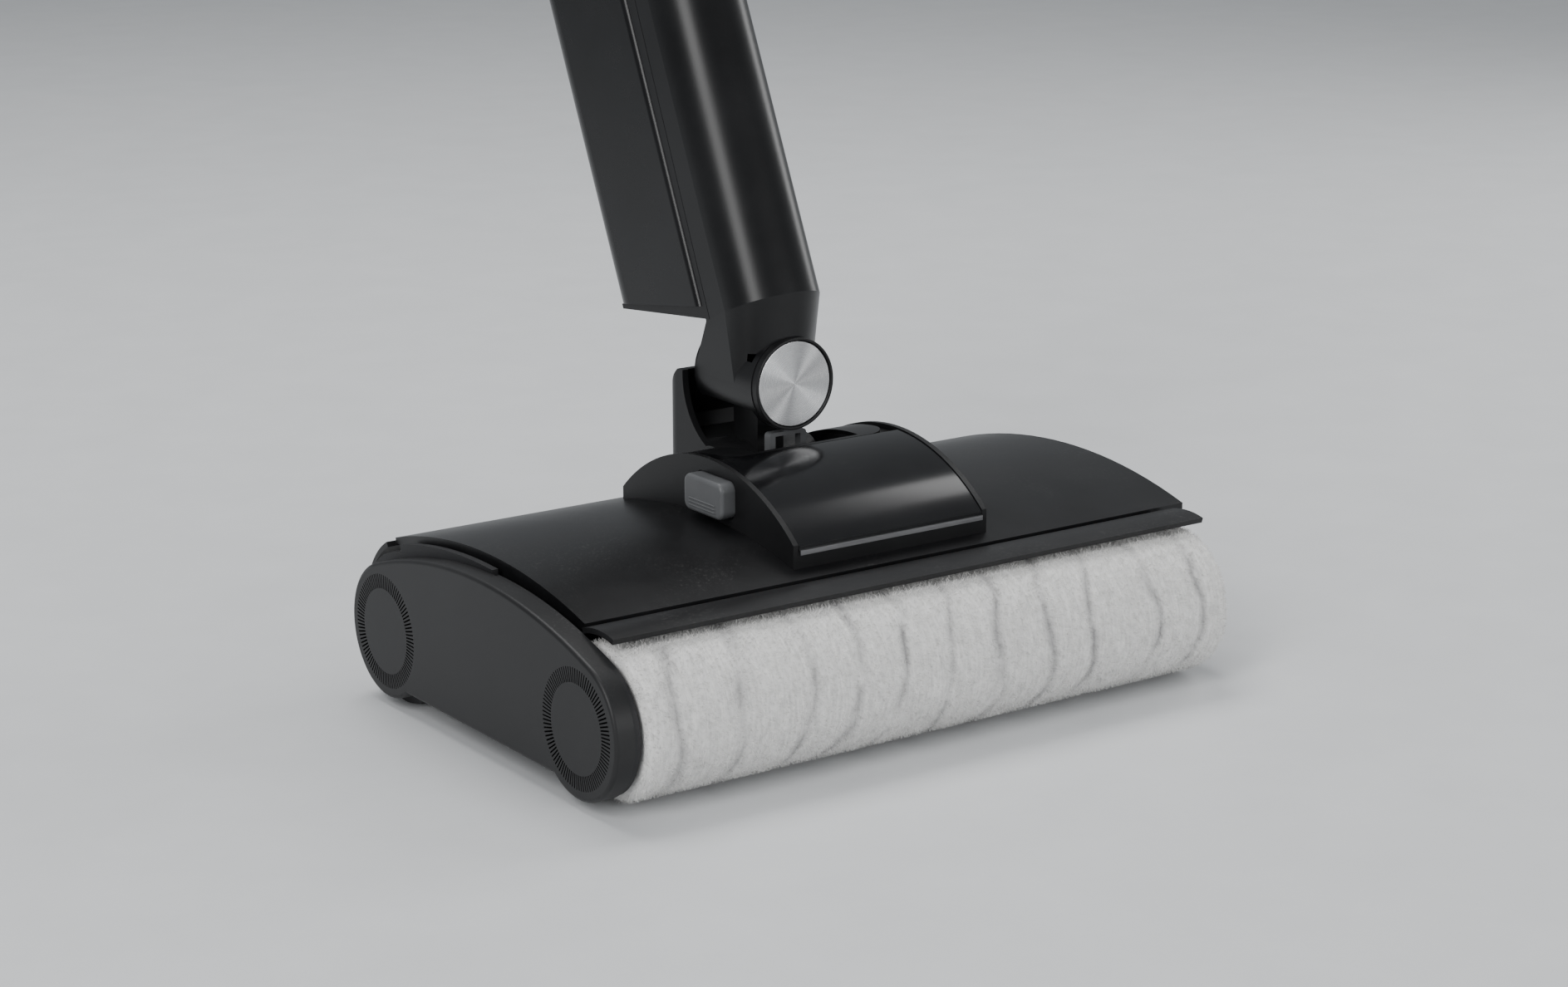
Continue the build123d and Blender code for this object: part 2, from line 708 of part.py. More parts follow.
def grip_solid():
    plan = Pos(0, 4) * RectangleRounded(2 * grip_half, 2 * grip_depth, grip_half - 1)
    grip = along_z(plan, grip_bottom_s, grip_top_s)
    ends = grip.faces().filter_by(Axis.Z).edges()
    grip = fillet(ends, 6)
    grip -= along_z(disc(0, tube_d, tube_r), grip_bottom_s, tube_top_s)
    grip -= trigger_room()
    grip -= Pos(0, 4 - grip_depth, 925) * Box(10.8, 14, 14.8)
    grip -= Pos(0, 4 - grip_depth, 900) * Box(8, 4, 12)
    return grip


def trigger_room():
    front = 4 - grip_depth
    return block(-6, 6, front - 12, tube_d - tube_r + 0.4, trigger_s - trigger_length - 4, trigger_s + 4)


def trigger():
    front = 4 - grip_depth
    low = trigger_s - trigger_length
    inner = tube_d - tube_r - move_gap
    side = polygon((inner, trigger_s + 3), (front - 2, trigger_s + 3), (front - 7, low + 16),
                   (front - 6, low), (front - 2, low), (inner - 2, trigger_s - 10))
    return lean_it(along_x(side, -5.4, 5.4))


def grip_parts():
    grip = grip_solid()
    screws = Part()
    for s in (815.0, 945.0):
        screws += along_x(disc(18, s, 2.6), grip_half - 2, grip_half - 0.6)
        screws += along_x(disc(18, s, 1.2), 4, grip_half - 2)
    pocket = Part()
    for s in (815.0, 945.0):
        pocket += along_x(disc(18, s, 2.6), grip_half - 2, grip_half + 3)
        pocket += along_x(disc(18, s, 1.2), 4, grip_half - 2)
    left = grip & block(-60, 0, -60, 90, grip_bottom_s - 5, grip_top_s + 5)
    right = grip & block(0, 60, -60, 90, grip_bottom_s - 5, grip_top_s + 5)
    button = Pos(0, 4 - grip_depth + 1.8, 925) * Box(10, 7, 14)
    button = fillet(button.edges().filter_by(Axis.Y), 2)
    lens = Pos(0, 4 - grip_depth + 1, 900) * Box(8, 2, 12)
    return [lean_it(s) for s in (left, right - pocket, screws, button, lens)]


def build():
    cover, plate = left_end_parts()
    screws = end_screws()
    right_cover, bracket = right_end_parts()
    nodes = {
        "base_chassis": base_chassis(),
        "left_end_cover": cover,
        "left_frame_plate": plate,
        "right_end_cover": right_cover,
        "right_end_bracket": bracket,
        "head_screws": screws,
        "axle_bushes": axle_bushes(),
        "top_cover": top_cover(),
        "front_lip": lip(front_y, 70, 105, wing_front_y, -1),
        "rear_lip": lip(rear_y, 25, 62, wing_rear_y, 1),
        "centre_housing": centre_housing(),
        "centre_panel": centre_panel(),
        "panel_trim": panel_trim(),
        "neck_surround": neck_surround(),
        "bearing_blocks": bearing_blocks(),
        "drive_motor": drive_motor(),
        "drive_belt": drive_belt(),
        "motor_pulley": motor_pulley(),
        "dirty_water_tray": dirty_water_tray(),
        "scraper_blades": scraper_blades(),
        "spray_nozzles": spray_nozzles(),
        "left_release_button": button_solid(-1, 0),
        "right_release_button": button_solid(1, 0),
        "neck_cradle": neck_cradle(),
        "neck_tongue": neck_tongue(),
        "trunnion_pin": trunnion_pin(),
        "front_shell": front_shell(),
        "spine_shell": spine_shell(),
        "tank": tank(),
        "tank_cap": tank_cap(),
        "tank_latch": tank_latch(),
        "trigger": trigger(),
    }
    for name, y in (("front", front_y), ("rear", rear_y)):
        pieces = ("sleeve", "core", "drive_hub", "pulley", "idler_hub")
        for piece, shape in zip(pieces, roller_parts(y)):
            nodes[f"{name}_roller_{piece}"] = shape
    nodes.update(zip(("battery_pack", "water_pump", "control_board", "water_hose"), inner_body_parts()))
    nodes.update(zip(("pivot_ring", "pivot_cap", "roll_pin"), pivot_parts()))
    nodes.update(zip(("handle_tube", "top_collar", "tube_lock_button"), handle_parts()))
    nodes.update(zip(("grip_left", "grip_right", "grip_screws", "power_button", "status_lens"),
                     grip_parts()))
    return nodes


def centred(nodes):
    """Move every node so that the whole stands on z = 0 with its box centred on x and y."""
    box = Compound(children=[Part() + s for s in nodes.values()]).bounding_box()
    shift = Pos(-(box.min.X + box.max.X) / 2, -(box.min.Y + box.max.Y) / 2, -box.min.Z)
    return {name: shift * shape for name, shape in nodes.items()}, shift


placed, shift = centred(build())
print("shift", shift.position)
os.makedirs("parts", exist_ok=True)
for name, shape in placed.items():
    export_step(shape, f"parts/{name}.step")
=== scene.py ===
"""Look of the wet dry floor scrubber: rollers, plastics, metals, floor, light and camera."""

import json
from math import cos, pi, radians, sin

import bmesh
import bpy
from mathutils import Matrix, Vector, noise


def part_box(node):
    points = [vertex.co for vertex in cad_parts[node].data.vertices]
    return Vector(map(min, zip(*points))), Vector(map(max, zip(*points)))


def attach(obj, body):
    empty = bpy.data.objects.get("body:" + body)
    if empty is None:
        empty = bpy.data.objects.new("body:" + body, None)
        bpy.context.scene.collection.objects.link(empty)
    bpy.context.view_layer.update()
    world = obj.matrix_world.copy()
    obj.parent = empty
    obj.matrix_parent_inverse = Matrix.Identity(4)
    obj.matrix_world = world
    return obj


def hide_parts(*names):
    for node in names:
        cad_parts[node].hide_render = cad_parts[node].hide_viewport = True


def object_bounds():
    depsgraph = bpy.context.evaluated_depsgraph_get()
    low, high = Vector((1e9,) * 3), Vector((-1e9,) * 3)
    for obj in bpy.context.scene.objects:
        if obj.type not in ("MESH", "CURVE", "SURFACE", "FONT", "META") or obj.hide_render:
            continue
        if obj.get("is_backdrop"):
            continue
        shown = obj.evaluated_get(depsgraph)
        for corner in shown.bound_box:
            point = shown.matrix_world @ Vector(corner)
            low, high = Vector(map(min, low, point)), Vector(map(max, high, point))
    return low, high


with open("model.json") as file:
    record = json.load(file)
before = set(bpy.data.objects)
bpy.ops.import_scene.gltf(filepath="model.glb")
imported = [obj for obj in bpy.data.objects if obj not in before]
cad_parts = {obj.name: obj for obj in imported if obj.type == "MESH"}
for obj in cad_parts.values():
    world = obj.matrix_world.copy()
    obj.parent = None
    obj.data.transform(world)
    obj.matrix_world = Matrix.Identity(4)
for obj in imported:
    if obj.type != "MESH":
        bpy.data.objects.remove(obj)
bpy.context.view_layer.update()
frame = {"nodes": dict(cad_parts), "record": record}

scene = bpy.context.scene
nodes = frame["nodes"]

MM = 0.001
FULL_TURN = 2 * pi
GREY_THREAD = (0.19, 0.185, 0.19)
PILE_WHITE = (0.90, 0.89, 0.87)
DUST_GREY = (0.42, 0.41, 0.39)

# plush sleeves
FIBRE_REACH = 1.3 * MM
FIBRE_MARGIN = 0.05 * MM
SLEEVE_END_GAP = 0.4 * MM
SLEEVE_SHOULDER = 4.0 * MM
SKIN_DEPTH = 5.5 * MM
CORE_GAP = 0.0001
AROUND = 220

# finger ribs on the release buttons
RIB_COUNT = 3
RIB_RADIUS = 0.35 * MM
RIB_STEP = 1.3 * MM
RIB_BASE = 2.4 * MM
RIB_MARGIN = 8 * MM
RIB_SINK = 0.00005

# floor and camera
FLOOR_HALF = 6.0
CAMERA_LENS = 73.46
CAMERA_FROM_HEAD = (-0.6788, -0.9399, 0.3854)
CAMERA_DOWN = 15.058
CAMERA_TURN = -35.236


# ---------------------------------------------------------------- shader groups

def new_group(name, inputs, outputs):
    """An empty shader node group with float inputs and the given outputs."""
    group = bpy.data.node_groups.new(name, "ShaderNodeTree")
    group.interface.new_socket("Vector", in_out="INPUT", socket_type="NodeSocketVector")
    for socket, value in inputs.items():
        made = group.interface.new_socket(socket, in_out="INPUT", socket_type="NodeSocketFloat")
        made.default_value = value
    for socket in outputs:
        group.interface.new_socket(socket, in_out="OUTPUT", socket_type="NodeSocketFloat")
    return group, group.nodes.new("NodeGroupInput"), group.nodes.new("NodeGroupOutput")


def math_node(tree, operation, a, b=None, clamp=False):
    """Output of a Math node whose inputs are numbers or other sockets."""
    node = tree.nodes.new("ShaderNodeMath")
    node.operation = operation
    node.use_clamp = clamp
    for socket, value in zip(node.inputs, (a, b)):
        if value is None:
            continue
        if isinstance(value, (int, float)):
            socket.default_value = value
        else:
            tree.links.new(value, socket)
    return node.outputs[0]


def noise_node(tree, vector, scale, detail=3.0, roughness=0.5):
    """Output of a Noise texture whose scale is a number or another socket."""
    node = tree.nodes.new("ShaderNodeTexNoise")
    node.inputs["Detail"].default_value = detail
    node.inputs["Roughness"].default_value = roughness
    tree.links.new(vector, node.inputs["Vector"])
    if isinstance(scale, (int, float)):
        node.inputs["Scale"].default_value = scale
    else:
        tree.links.new(scale, node.inputs["Scale"])
    return node.outputs["Fac"]


def range_node(tree, value, low, high, to_low=0.0, to_high=1.0):
    """Value taken from low..high to to_low..to_high, held at its ends."""
    node = tree.nodes.new("ShaderNodeMapRange")
    tree.links.new(value, node.inputs["Value"])
    ends = (("From Min", low), ("From Max", high), ("To Min", to_low), ("To Max", to_high))
    for socket, number in ends:
        node.inputs[socket].default_value = number
    return node.outputs["Result"]


def moulded_group():
    """Mould grain, with faint flow mottling and settled dust."""
    group, into, out = new_group(
        "moulded_grain", {"Grain": 2200.0, "Roughness": 0.4, "Spread": 0.1, "Dust": 0.1},
        ("Height", "Roughness", "Mottle", "Dust"))
    links = group.links
    vector = into.outputs["Vector"]
    fine = noise_node(group, vector, into.outputs["Grain"], 4.0, 0.6)
    pits = group.nodes.new("ShaderNodeTexVoronoi")
    links.new(vector, pits.inputs["Vector"])
    links.new(into.outputs["Grain"], pits.inputs["Scale"])
    links.new(math_node(group, "ADD", fine, pits.outputs["Distance"]), out.inputs["Height"])
    flow = noise_node(group, vector, 22.0, 5.0, 0.65)
    centred = math_node(group, "SUBTRACT", flow, 0.5)
    swing = math_node(group, "MULTIPLY", centred, into.outputs["Spread"])
    rough = math_node(group, "ADD", into.outputs["Roughness"], swing)
    links.new(rough, out.inputs["Roughness"])
    links.new(range_node(group, flow, 0.35, 0.7), out.inputs["Mottle"])
    geometry = group.nodes.new("ShaderNodeNewGeometry")
    split = group.nodes.new("ShaderNodeSeparateXYZ")
    links.new(geometry.outputs["Normal"], split.inputs[0])
    upward = range_node(group, split.outputs["Z"], 0.3, 1.0)
    specks = range_node(group, noise_node(group, vector, 900.0, 2.0), 0.56, 0.74)
    patches = range_node(group, noise_node(group, vector, 30.0, 3.0), 0.45, 0.7)
    dusty = math_node(group, "MULTIPLY", math_node(group, "MULTIPLY", upward, specks), patches)
    links.new(math_node(group, "MULTIPLY", dusty, into.outputs["Dust"]), out.inputs["Dust"])
    return group


def ring_brush_painted_highlight_group():
    """Fine turned grooves round the Y axis, with a painted conic highlight: bright wedges and glints by
    angle, given out as Sheen for the colour.
    """
    group, into, out = new_group(
        "turned_grooves_painted_highlight", {"Grooves": 2600.0, "Roughness": 0.3}, ("Height", "Roughness", "Sheen"))
    links = group.links
    split = group.nodes.new("ShaderNodeSeparateXYZ")
    links.new(into.outputs["Vector"], split.inputs[0])
    x, z = split.outputs["X"], split.outputs["Z"]
    square = math_node(group, "ADD", math_node(group, "MULTIPLY", x, x), math_node(group, "MULTIPLY", z, z))
    radius = math_node(group, "SQRT", square)
    line = group.nodes.new("ShaderNodeTexNoise")
    line.noise_dimensions = "1D"
    line.inputs["Detail"].default_value = 3.0
    links.new(radius, line.inputs["W"])
    links.new(into.outputs["Grooves"], line.inputs["Scale"])
    links.new(line.outputs["Fac"], out.inputs["Height"])
    # Painted highlight: bright wedges and narrow glints by angle round the axis, standing in for the lamps'
    # conic reflection on the spun cap.
    angle = math_node(group, "ARCTAN2", z, x)
    leaned = math_node(group, "ADD", angle, 0.62)
    broad = math_node(group, "ABSOLUTE", math_node(group, "COSINE", leaned))
    doubled = math_node(group, "MULTIPLY", leaned, 2.0)
    cross = math_node(group, "ABSOLUTE", math_node(group, "COSINE", doubled))
    painted_wedge_highlight = math_node(group, "MULTIPLY", math_node(group, "POWER", broad, 1.6), 0.62)
    painted_glint = math_node(group, "MULTIPLY", math_node(group, "POWER", cross, 9.0), 0.5)
    links.new(math_node(group, "ADD", painted_wedge_highlight, painted_glint, True), out.inputs["Sheen"])
    wobble = math_node(group, "MULTIPLY", math_node(group, "SUBTRACT", line.outputs["Fac"], 0.5), 0.14)
    links.new(math_node(group, "ADD", into.outputs["Roughness"], wobble), out.inputs["Roughness"])
    return group


def straight_brush_group():
    """Fine drawn lines along X, for shafts, screws and the trim strip."""
    group, into, out = new_group("drawn_lines", {"Roughness": 0.3}, ("Height", "Roughness", "Tone"))
    links = group.links
    stretch = group.nodes.new("ShaderNodeMapping")
    stretch.inputs["Scale"].default_value = (30.0, 2200.0, 2200.0)
    links.new(into.outputs["Vector"], stretch.inputs["Vector"])
    lines = noise_node(group, stretch.outputs[0], 1.0, 4.0, 0.6)
    links.new(lines, out.inputs["Height"])
    links.new(range_node(group, lines, 0.3, 0.7), out.inputs["Tone"])
    swing = math_node(group, "MULTIPLY", math_node(group, "SUBTRACT", lines, 0.5), 0.2)
    links.new(math_node(group, "ADD", into.outputs["Roughness"], swing), out.inputs["Roughness"])
    return group


def pile_group():
    """Colour and height of plush pile wound round an axle along X."""
    group, into, out = new_group(
        "wound_pile", {"Stripe Pitch": 0.023, "Stripe Strength": 0.8}, ("Stripe", "Shade", "Height"))
    links = group.links
    split = group.nodes.new("ShaderNodeSeparateXYZ")
    links.new(into.outputs["Vector"], split.inputs[0])
    angle = math_node(group, "ARCTAN2", split.outputs["Z"], split.outputs["Y"])
    turn = math_node(group, "DIVIDE", angle, FULL_TURN)
    bend = noise_node(group, into.outputs["Vector"], 20.0, 1.5)
    wander = math_node(group, "MULTIPLY", math_node(group, "SUBTRACT", bend, 0.5), 1.5)
    along = math_node(group, "DIVIDE", split.outputs["X"], into.outputs["Stripe Pitch"])
    phase = math_node(group, "ADD", math_node(group, "ADD", along, turn), wander)
    place = math_node(group, "ABSOLUTE", math_node(group, "SUBTRACT", math_node(group, "FRACT", phase), 0.5))
    core = range_node(group, place, 0.17, 0.0)
    broken = range_node(group, noise_node(group, into.outputs["Vector"], 60.0, 4.0), 0.32, 0.62)
    stripe = math_node(group, "MULTIPLY", math_node(group, "POWER", core, 1.7), broken)
    strength = into.outputs["Stripe Strength"]
    links.new(math_node(group, "MULTIPLY", stripe, strength, True), out.inputs["Stripe"])
    streak = group.nodes.new("ShaderNodeCombineXYZ")
    links.new(math_node(group, "MULTIPLY", split.outputs["X"], 900.0), streak.inputs["X"])
    links.new(math_node(group, "MULTIPLY", math_node(group, "COSINE", angle), 3.0), streak.inputs["Y"])
    links.new(math_node(group, "MULTIPLY", math_node(group, "SINE", angle), 3.0), streak.inputs["Z"])
    combed = noise_node(group, streak.outputs[0], 1.0, 4.0, 0.65)
    clumps = noise_node(group, into.outputs["Vector"], 420.0, 4.0, 0.6)
    mixed = math_node(group, "ADD", math_node(group, "MULTIPLY", combed, 0.6),
                      math_node(group, "MULTIPLY", clumps, 0.4))
    links.new(range_node(group, mixed, 0.3, 0.68), out.inputs["Shade"])
    links.new(mixed, out.inputs["Height"])
    return group


moulded = moulded_group()
turned = ring_brush_painted_highlight_group()
drawn = straight_brush_group()
wound_pile = pile_group()


# ---------------------------------------------------------------- materials

def start_material(name, group, centre=(0.0, 0.0, 0.0)):
    """A Principled material whose pattern group reads Object coordinates from centre."""
    material = bpy.data.materials.new(name)
    material.use_nodes = True
    tree = material.node_tree
    shader = tree.nodes["Principled BSDF"]
    coordinates = tree.nodes.new("ShaderNodeTexCoord")
    mapping = tree.nodes.new("ShaderNodeMapping")
    mapping.inputs["Location"].default_value = [-value for value in centre]
    pattern = tree.nodes.new("ShaderNodeGroup")
    pattern.node_tree = group
    tree.links.new(coordinates.outputs["Object"], mapping.inputs["Vector"])
    tree.links.new(mapping.outputs[0], pattern.inputs["Vector"])
    return material, tree, shader, pattern


def blend_colour(tree, factor, first, second):
    mix = tree.nodes.new("ShaderNodeMix")
    mix.data_type = "RGBA"
    tree.links.new(factor, mix.inputs["Factor"])
    for socket, colour in ((mix.inputs["A"], first), (mix.inputs["B"], second)):
        if isinstance(colour, tuple):
            socket.default_value = (*colour, 1.0)
        else:
            tree.links.new(colour, socket)
    return mix.outputs["Result"]


def bump_into(tree, shader, height, distance, strength=1.0):
    bump = tree.nodes.new("ShaderNodeBump")
    bump.inputs["Distance"].default_value = distance
    bump.inputs["Strength"].default_value = strength
    tree.links.new(height, bump.inputs["Height"])
    tree.links.new(bump.outputs[0], shader.inputs["Normal"])


def plastic(name, colour, roughness, grain=2200.0, depth=0.00002, spread=0.12, dust=0.25, coat=0.0,
            specular=0.32):
    material, tree, shader, pattern = start_material(name, moulded)
    for socket, value in (("Grain", grain), ("Roughness", roughness), ("Spread", spread), ("Dust", dust)):
        pattern.inputs[socket].default_value = value
    lighter = tuple(min(1.0, c * 1.5 + 0.002) for c in colour)
    base = blend_colour(tree, pattern.outputs["Mottle"], colour, lighter)
    dusted = blend_colour(tree, pattern.outputs["Dust"], base, DUST_GREY)
    tree.links.new(dusted, shader.inputs["Base Color"])
    tree.links.new(pattern.outputs["Roughness"], shader.inputs["Roughness"])
    shader.inputs["Coat Weight"].default_value = coat
    shader.inputs["Coat Roughness"].default_value = 0.12
    shader.inputs["Specular IOR Level"].default_value = specular
    bump_into(tree, shader, pattern.outputs["Height"], depth)
    return material


def drawn_metal(name, colour, roughness, depth=0.00001):
    material, tree, shader, pattern = start_material(name, drawn)
    pattern.inputs["Roughness"].default_value = roughness
    darker = tuple(c * 0.72 for c in colour)
    tree.links.new(blend_colour(tree, pattern.outputs["Tone"], darker, colour), shader.inputs["Base Color"])
    tree.links.new(pattern.outputs["Roughness"], shader.inputs["Roughness"])
    shader.inputs["Metallic"].default_value = 1.0
    bump_into(tree, shader, pattern.outputs["Height"], depth)
    return material


def spun_metal(centre):
    material, tree, shader, pattern = start_material("spun_cap_metal_painted_highlight", turned, centre)
    pattern.inputs["Roughness"].default_value = 0.27
    # Base colour from dark grey to near white by the Sheen wedges: a painted conic highlight laid over the
    # anisotropic shading.
    tree.links.new(blend_colour(tree, pattern.outputs["Sheen"], (0.27, 0.27, 0.275), (0.95, 0.95, 0.955)),
                   shader.inputs["Base Color"])
    tree.links.new(pattern.outputs["Roughness"], shader.inputs["Roughness"])
    shader.inputs["Metallic"].default_value = 1.0
    shader.inputs["Anisotropic"].default_value = 0.93
    tangent = tree.nodes.new("ShaderNodeTangent")
    tangent.direction_type = "RADIAL"
    tangent.axis = "Y"
    tree.links.new(tangent.outputs[0], shader.inputs["Tangent"])
    bump_into(tree, shader, pattern.outputs["Height"], 0.000006)
    return material


def pile_material(name, centre, thread):
    """Damp white plush with thin grey threads wound in a slow helix."""
    material, tree, shader, pattern = start_material(name, wound_pile, centre)
    dim = tuple(c * 0.62 for c in PILE_WHITE)
    base = blend_colour(tree, pattern.outputs["Shade"], dim, PILE_WHITE)
    striped = blend_colour(tree, pattern.outputs["Stripe"], base, thread)
    tree.links.new(striped, shader.inputs["Base Color"])
    shader.inputs["Roughness"].default_value = 0.82
    shader.inputs["Sheen Weight"].default_value = 0.35
    shader.inputs["Sheen Roughness"].default_value = 0.5
    bump_into(tree, shader, pattern.outputs["Height"], 0.0006)
    return material


def middle(node):
    low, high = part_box(node)
    return (Vector(low) + Vector(high)) / 2


finishes = {
    "gloss_black": plastic("gloss_black_shell", (0.0045, 0.0045, 0.005), 0.30, 1500.0, 0.000004, 0.08, 0.05),
    "satin_black": plastic("satin_black_moulding", (0.006, 0.006, 0.0065), 0.40, 2600.0, 0.00001, 0.12, 0.10),
    "dark_plastic": plastic("dark_frame_plastic", (0.010, 0.010, 0.011), 0.52, 1800.0, 0.00002, 0.15, 0.15),
    "grey_plastic": plastic("grey_button_plastic", (0.085, 0.087, 0.09), 0.36, 2600.0, 0.00001, 0.12, 0.06),
    "silver_trim": drawn_metal("trim_strip_metal", (0.36, 0.36, 0.37), 0.32),
    "steel": drawn_metal("turned_steel", (0.62, 0.62, 0.61), 0.30),
    "white_plastic": plastic("white_core_plastic", (0.72, 0.72, 0.70), 0.50, 1600.0, 0.00002, 0.12, 0.1),
    "rubber": plastic("black_rubber", (0.016, 0.016, 0.016), 0.72, 1400.0, 0.00004, 0.1, 0.35),
    "tank_smoke": plastic("tank_black_gloss", (0.0035, 0.0035, 0.004), 0.27, 1500.0, 0.000005, 0.10, 0.05),
    "lens": plastic("status_lens_smoke", (0.03, 0.05, 0.06), 0.10, 1500.0, 0.000003, 0.05, 0.05, 0.6),
    "board_green": plastic("board_green_mask", (0.012, 0.12, 0.04), 0.38, 900.0, 0.00003, 0.2, 0.1),
    "battery_wrap": plastic("battery_blue_wrap", (0.03, 0.08, 0.26), 0.35, 700.0, 0.00003, 0.15, 0.1),
    "bronze_bush": drawn_metal("bronze_bush_metal", (0.52, 0.33, 0.14), 0.38),
    "tube_alu": drawn_metal("black_anodised_tube", (0.045, 0.045, 0.05), 0.30),
    "spun_cap": spun_metal(middle("pivot_cap")),
}
panel_gloss = plastic("centre_panel_gloss", (0.003, 0.003, 0.0035), 0.16, 1500.0, 0.000002, 0.05, 0.03, 0.2)
surround_satin = plastic("neck_surround_satin", (0.003, 0.003, 0.0035), 0.36, 1500.0, 0.000002, 0.05, 0.03)
cover_satin = plastic("top_cover_satin", (0.005, 0.005, 0.0055), 0.33, 2400.0, 0.000008, 0.10, 0.08)
end_satin = plastic("end_cover_satin", (0.010, 0.010, 0.0105), 0.44, 2600.0, 0.00001, 0.12, 0.08)

slot_of = {part["node"]: part["material_slot"] for part in frame["record"]["subparts"]}
special = {
    "centre_panel": panel_gloss,
    "neck_surround": surround_satin,
    "top_cover": cover_satin,
    "left_end_cover": end_satin,
    "right_end_cover": end_satin,
}
for name, node in nodes.items():
    finish = special.get(name) or finishes.get(slot_of[name])
    if finish:
        node.data.materials.clear()
        node.data.materials.append(finish)


# ---------------------------------------------------------------- plush rollers

def ring_surface(name, outline, centre, around):
    """A closed mesh made by turning a closed (x, radius) outline round the axle."""
    mesh = bpy.data.meshes.new(name)
    points = []
    for x, radius in outline:
        for k in range(around):
            turn = FULL_TURN * k / around
            swell = noise.noise(Vector((x * 420, 9 * cos(turn), 9 * sin(turn)))) * 0.00022
            swell += noise.noise(Vector((x * 90, 2.5 * cos(turn), 2.5 * sin(turn)))) * 0.0003
            soft = radius + swell * min(1.0, max(0.0, (radius - 0.0225) / 0.003))
            points.append((x, centre.y + soft * cos(turn), centre.z + soft * sin(turn)))
    rows = len(outline)
    faces = []
    for i in range(rows):
        nxt = (i + 1) % rows
        for k in range(around):
            j = (k + 1) % around
            faces.append((i * around + k, i * around + j, nxt * around + j, nxt * around + k))
    mesh.from_pydata(points, [], faces)
    work = bmesh.new()
    work.from_mesh(mesh)
    bmesh.ops.recalc_face_normals(work, faces=work.faces)
    work.to_mesh(mesh)
    work.free()
    for face in mesh.polygons:
        face.use_smooth = True
    piece = bpy.data.objects.new(name, mesh)
    scene.collection.objects.link(piece)
    return piece


def pile_outline(left, right, inner, outer, shoulder):
    """Closed outline of the sleeve: bore, flat ends, rounded shoulders and the long outside."""
    outline = [(left, inner), (left, outer - shoulder)]
    steps = 7
    for i in range(1, steps + 1):
        bend = pi / 2 * i / steps
        outline.append((left + shoulder * (1 - cos(bend)), outer - shoulder * (1 - sin(bend))))
    rows = 150
    for i in range(1, rows):
        outline.append((left + shoulder + (right - left - 2 * shoulder) * i / rows, outer))
    for i in range(steps + 1):
        bend = pi / 2 * (1 - i / steps)
        outline.append((right - shoulder * (1 - cos(bend)), outer - shoulder * (1 - sin(bend))))
    outline.append((right, inner))
    return outline


def tuft_tree(material):
    """Short leaning fibres scattered over a surface, realized as plain faces."""
    tree = bpy.data.node_groups.new("pile_tufts", "GeometryNodeTree")
    tree.interface.new_socket("Geometry", in_out="INPUT", socket_type="NodeSocketGeometry")
    sizes = {"Density": 900000.0, "Length": 0.0019, "Width": 0.00022}
    for label, value in sizes.items():
        made = tree.interface.new_socket(label, in_out="INPUT", socket_type="NodeSocketFloat")
        made.default_value = value
    seed = tree.interface.new_socket("Seed", in_out="INPUT", socket_type="NodeSocketInt")
    seed.default_value = 4
    tree.interface.new_socket("Geometry", in_out="OUTPUT", socket_type="NodeSocketGeometry")
    into = tree.nodes.new("NodeGroupInput")
    out = tree.nodes.new("NodeGroupOutput")
    link = tree.links.new
    scatter = tree.nodes.new("GeometryNodeDistributePointsOnFaces")
    link(into.outputs["Geometry"], scatter.inputs["Mesh"])
    link(into.outputs["Density"], scatter.inputs["Density"])
    link(into.outputs["Seed"], scatter.inputs["Seed"])
    fibre = tree.nodes.new("GeometryNodeMeshCone")
    fibre.fill_type = "NONE"
    fibre.inputs["Vertices"].default_value = 3
    link(into.outputs["Width"], fibre.inputs["Radius Bottom"])
    link(into.outputs["Length"], fibre.inputs["Depth"])
    sway = tree.nodes.new("FunctionNodeRandomValue")
    sway.data_type = "FLOAT_VECTOR"
    sway.inputs["Min"].default_value = (-0.75, -0.75, -3.1)
    sway.inputs["Max"].default_value = (0.75, 0.75, 3.1)
    link(into.outputs["Seed"], sway.inputs["Seed"])
    turn = tree.nodes.new("FunctionNodeRotateRotation")
    turn.rotation_space = "LOCAL"
    link(scatter.outputs["Rotation"], turn.inputs["Rotation"])
    to_turn = tree.nodes.new("FunctionNodeEulerToRotation")
    link(sway.outputs["Value"], to_turn.inputs["Euler"])
    link(to_turn.outputs[0], turn.inputs["Rotate By"])
    length = tree.nodes.new("FunctionNodeRandomValue")
    length.data_type = "FLOAT"
    length.inputs[2].default_value = 0.55
    length.inputs[3].default_value = 1.0
    place = tree.nodes.new("GeometryNodeInstanceOnPoints")
    link(scatter.outputs["Points"], place.inputs["Points"])
    link(fibre.outputs["Mesh"], place.inputs["Instance"])
    link(turn.outputs[0], place.inputs["Rotation"])
    link(length.outputs[1], place.inputs["Scale"])
    real = tree.nodes.new("GeometryNodeRealizeInstances")
    link(place.outputs[0], real.inputs[0])
    paint = tree.nodes.new("GeometryNodeSetMaterial")
    paint.inputs["Material"].default_value = material
    link(real.outputs[0], paint.inputs["Geometry"])
    link(paint.outputs[0], out.inputs["Geometry"])
    return tree


def grow_tufts(name, surface, material, seed):
    """Fibres on surface as a plain mesh of their own."""
    tree = tuft_tree(material)
    modifier = surface.modifiers.new("tufts", "NODES")
    modifier.node_group = tree
    for item in tree.interface.items_tree:
        if item.name == "Seed" and item.in_out == "INPUT":
            modifier[item.identifier] = seed
    graph = bpy.context.evaluated_depsgraph_get()
    mesh = bpy.data.meshes.new_from_object(surface.evaluated_get(graph))
    surface.modifiers.clear()
    piece = bpy.data.objects.new(name, mesh)
    scene.collection.objects.link(piece)
    return piece


